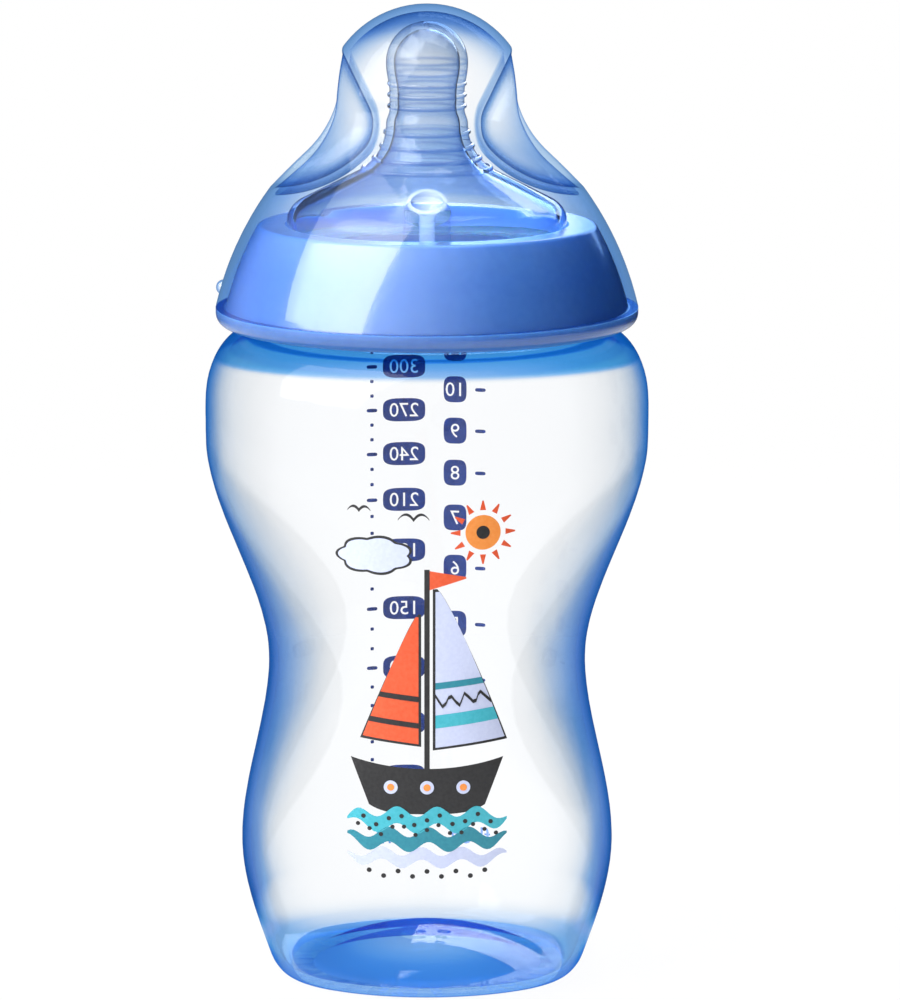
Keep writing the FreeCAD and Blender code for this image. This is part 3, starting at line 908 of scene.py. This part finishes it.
frosting_grains = 900.0
frosting_depth = 0.02 * MM
silicone, tree, skin = new_finish("silicone")
skin.inputs["IOR"].default_value = 1.03
skin.inputs["Coat Weight"].default_value = 0.8
skin.inputs["Coat IOR"].default_value = 1.41
skin.inputs["Coat Roughness"].default_value = 0.08
vent_shade_share = by_radius(tree, vent_painted_shade_shares, vent_along)
edges = reckoned(tree, "MAXIMUM", by_height(tree, silicone_painted_shade_shares), vent_shade_share)
edge_on = reckoned(tree, "MULTIPLY", edge_share(tree), edges)
lean = ranged(tree, axis_of(tree, "Z", "Normal"), -1.0, 1.0)
body = multiplied(tree, by_height(tree, silicone_tint_and_painted_blue), by_height(tree, painted_rib_lines))
body = multiplied(tree, body, ramped(tree, lean, painted_lean_shades, "B_SPLINE"))
body = multiplied(tree, body, ramped(tree, edge_on, silicone_edge_painted_shade, "B_SPLINE"))
vent_clear = by_radius(tree, vent_clearness, vent_along)
clearness = multiplied(tree, by_height(tree, silicone_clearness), vent_clear)
frosting_normal = grain_bump(tree, frosting_grains, frosting_depth)[1]
tree.links.new(body, skin.inputs["Base Color"])
tree.links.new(clearness, skin.inputs["Transmission Weight"])
tree.links.new(by_height(tree, silicone_haze), skin.inputs["Roughness"])
tree.links.new(frosting_normal, skin.inputs["Coat Normal"])
dress("teat", silicone)
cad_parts["teat"].visible_shadow = False


# Screw collar: an injection-moulded ring of cornflower plastic, through-coloured and faintly translucent,
# screwed down over the teat's flange onto the bottle's neck. Its inner walls are painted a lighter blue,
# painted light that stands in for the light that comes through the plastic.
collar_blue = (0.050, 0.135, 0.355, 1.0)
collar_light_blue = (0.056, 0.148, 0.38, 1.0)
collar_inside_painted_light = [
    (105.0, (0.55, 0.74, 0.98)),
    (124.3, (0.55, 0.74, 0.98)),
    (124.8, (0.14, 0.31, 0.70)),
    (128.0, (0.14, 0.31, 0.70)),
]
collar_skins = (-0.9, -0.5)
collar_grains = 700.0
collar_grain_depth = 0.02 * MM
collar_roughness = (0.14, 0.22)
collar_plastic, tree, skin = new_finish("collar plastic")
skin.inputs["IOR"].default_value = 1.7
skin.inputs["Subsurface Weight"].default_value = 0.5
skin.inputs["Subsurface Radius"].default_value = (0.3, 0.6, 1.0)
skin.inputs["Subsurface Scale"].default_value = 8.0 * MM
grain, grain_normal = grain_bump(tree, collar_grains, collar_grain_depth)
outer_blue = mixed(tree, spread(tree, grain, 0.0, 1.0), collar_blue, collar_light_blue)
both_blues = mixed(tree, outer_skin(tree, *collar_skins), by_height(tree, collar_inside_painted_light), outer_blue)
tree.links.new(both_blues, skin.inputs["Base Color"])
tree.links.new(spread(tree, grain, *collar_roughness), skin.inputs["Roughness"])
tree.links.new(grain_normal, skin.inputs["Normal"])
dress("screw_collar", collar_plastic)


# Hood: a moulded bell of the same clear plastic as the bottle, with a scoop in its front and back, that
# pushes on over the collar and keeps the teat clean.
hood_tints = [
    (0.22, (1.0, 1.0, 1.0)),
    (0.40, (0.92, 0.955, 0.99)),
    (0.56, (0.60, 0.75, 0.95)),
    (0.72, (0.28, 0.51, 0.90)),
    (1.00, (0.17, 0.40, 0.80)),
]
hood_gather = [
    (113.0, 0.54),
    (121.5, 0.54),
    (129.0, 0.35),
    (140.0, 0.34),
    (154.0, 0.31),
    (160.0, 0.36),
    (164.7, 0.38),
]
hood_shine = [
    (113.0, 1.0),
    (127.0, 1.0),
    (133.0, 0.30),
    (164.7, 0.30),
]
hood_skins = (-0.9, -0.55)
hood_plastic, tree, skin = new_finish("hood plastic")
outside = outer_skin(tree, *hood_skins)
edge_on = reckoned(tree, "MULTIPLY", edge_share(tree), outside)
body = wall_tint(tree, edge_on, by_height(tree, hood_gather), hood_tints)
polish = multiplied(tree, outside, by_height(tree, hood_shine))
clear_plastic(tree, skin, body, polish, coat_ior=1.6, coat_roughness=0.06)
dress("hood", hood_plastic)
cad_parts["hood"].visible_shadow = False


# Floor: a round of white paper under the bottle whose edge fades into the white of the studio. What the
# camera, the gloss and the clear walls see of it is nearly white, and the bottle's soft shadow stays on it.
floor_radius = 0.60
floor_solid = 0.22
floor_glow = 0.95
paper_white = (0.9, 0.9, 0.9, 1.0)
rim_points = 96
ring = np.linspace(0, 2 * np.pi, rim_points, endpoint=False)
rim = np.stack([floor_radius * np.cos(ring), floor_radius * np.sin(ring), np.zeros_like(ring)], 1)
mesh = bpy.data.meshes.new("paper floor")
mesh.from_pydata(rim.tolist(), [], [list(range(len(rim)))])
floor = bpy.data.objects.new("paper_floor", mesh)
scene.collection.objects.link(floor)


def seen_by(tree, *rays):
    """1 where a ray is one of the named kinds of Light Path, else 0."""
    path = tree.nodes.new("ShaderNodeLightPath")
    seen = path.outputs[rays[0]]
    for ray in rays[1:]:
        seen = reckoned(tree, "MAXIMUM", seen, path.outputs[ray])
    return seen


def shader_mix(tree, share, first, second):
    """Two shaders mixed, all of the first where the share is 0 and all of the second where it is 1."""
    mix = tree.nodes.new("ShaderNodeMixShader")
    tree.links.new(share, mix.inputs["Fac"])
    tree.links.new(first, mix.inputs[1])
    tree.links.new(second, mix.inputs[2])
    return mix.outputs["Shader"]


paper, tree, sheet = new_finish("white paper")
sheet.inputs["Base Color"].default_value = paper_white
sheet.inputs["Roughness"].default_value = 1.0
sheet.inputs["Specular IOR Level"].default_value = 0.0
glow = tree.nodes.new("ShaderNodeEmission")
clear = tree.nodes.new("ShaderNodeBsdfTransparent")
seen = seen_by(tree, "Is Camera Ray", "Is Glossy Ray", "Is Transmission Ray")
glowing = reckoned(tree, "MULTIPLY", seen, floor_glow)
lit = shader_mix(tree, glowing, sheet.outputs["BSDF"], glow.outputs["Emission"])
reach = tree.nodes.new("ShaderNodeVectorMath")
reach.operation = "LENGTH"
tree.links.new(from_axis(tree), reach.inputs[0])
fade = ranged(tree, reach.outputs["Value"], floor_solid, floor_radius, ease="SMOOTHSTEP")
faded = shader_mix(tree, fade, lit, clear.outputs["BSDF"])
tree.links.new(faded, tree.nodes["Material Output"].inputs["Surface"])
mesh.materials.append(paper)


# Studio: white behind everything that the camera sees, directly or through the clear plastic. What the gloss
# reflects is a room that is light in front and on the left and dim behind and on the right. A softbox high
# on the left is the key light; one above and one behind fill in.
world = bpy.data.worlds.new("studio")
scene.world = world
world.use_nodes = True
tree = world.node_tree
backdrop_white = (1.0, 1.0, 1.0, 1.0)


def room_light(axis, dim_at, light_at, dim, light):
    """Brightness of the room along one axis, from dim to light between two directions."""
    return ranged(tree, axis_of(tree, axis, "Generated"), dim_at, light_at, dim, light, "SMOOTHSTEP")


front_light = room_light("Y", dim_at=0.35, light_at=-0.25, dim=0.05, light=1.1)
side_light = room_light("X", dim_at=0.80, light_at=-0.70, dim=0.03, light=1.5)
left_light = room_light("X", dim_at=-0.45, light_at=-0.90, dim=0.0, light=0.9)
room = reckoned(tree, "MAXIMUM", reckoned(tree, "MULTIPLY", front_light, side_light), left_light)
path = tree.nodes.new("ShaderNodeLightPath")
bounces = reckoned(tree, "ADD", path.outputs["Diffuse Depth"], path.outputs["Glossy Depth"])
half_a_bounce = 0.5
straight = reckoned(tree, "LESS_THAN", bounces, half_a_bounce)
backdrop = reckoned(tree, "MULTIPLY", seen_by(tree, "Is Camera Ray", "Is Transmission Ray"), straight)
background = tree.nodes["Background"]
background.inputs["Color"].default_value = backdrop_white
tree.links.new(mixed(tree, backdrop, room, backdrop_white), background.inputs["Strength"])


def softbox(name, place, target, size, power):
    """A rectangular softbox at a place, facing a target."""
    lamp = bpy.data.lights.new(name, "AREA")
    lamp.shape = "RECTANGLE"
    lamp.size, lamp.size_y = size
    lamp.energy = power
    box = bpy.data.objects.new(name, lamp)
    box.location = place
    box.rotation_euler = (Vector(target) - Vector(place)).to_track_quat("-Z", "Y").to_euler()
    scene.collection.objects.link(box)
    return box


middle = (0.0, 0.0, 0.08)
softbox("key", (-0.52, -0.30, 0.62), middle, size=(0.75, 0.8), power=8.0)
top_fill = softbox("top", (0.05, 0.18, 0.90), middle, size=(0.5, 0.4), power=3.0)
top_fill.visible_glossy = False
back_fill = softbox("back fill", (0.25, 0.85, 0.45), middle, size=(0.6, 0.5), power=4.0)
back_fill.visible_glossy = False


# Camera: a long lens in front of the bottle and above its top, looking down on it a little, framed as the
# photograph.
camera_distance = 1.2
camera_elevation = math.radians(9.5)
camera_target = 0.082
frame_height = 1000
focal_pixels = 7071
sensor = 36.0
shift_across = 0.023
shift_up = -0.01026
lens = bpy.data.cameras.new("camera")
lens.sensor_fit = "VERTICAL"
lens.sensor_height = sensor
lens.lens = sensor * focal_pixels / frame_height
lens.shift_x = shift_across
lens.shift_y = shift_up
camera = bpy.data.objects.new("camera", lens)
camera_back = camera_distance * math.cos(camera_elevation)
camera_rise = camera_distance * math.sin(camera_elevation)
camera.location = (0.0, -camera_back, camera_target + camera_rise)
camera.rotation_euler = (math.pi / 2 - camera_elevation, 0.0, 0.0)
scene.collection.objects.link(camera)
scene.camera = camera
scene.cycles.max_bounces = 32
scene.cycles.transmission_bounces = 32
scene.cycles.transparent_max_bounces = 16
scene.cycles.glossy_bounces = 8
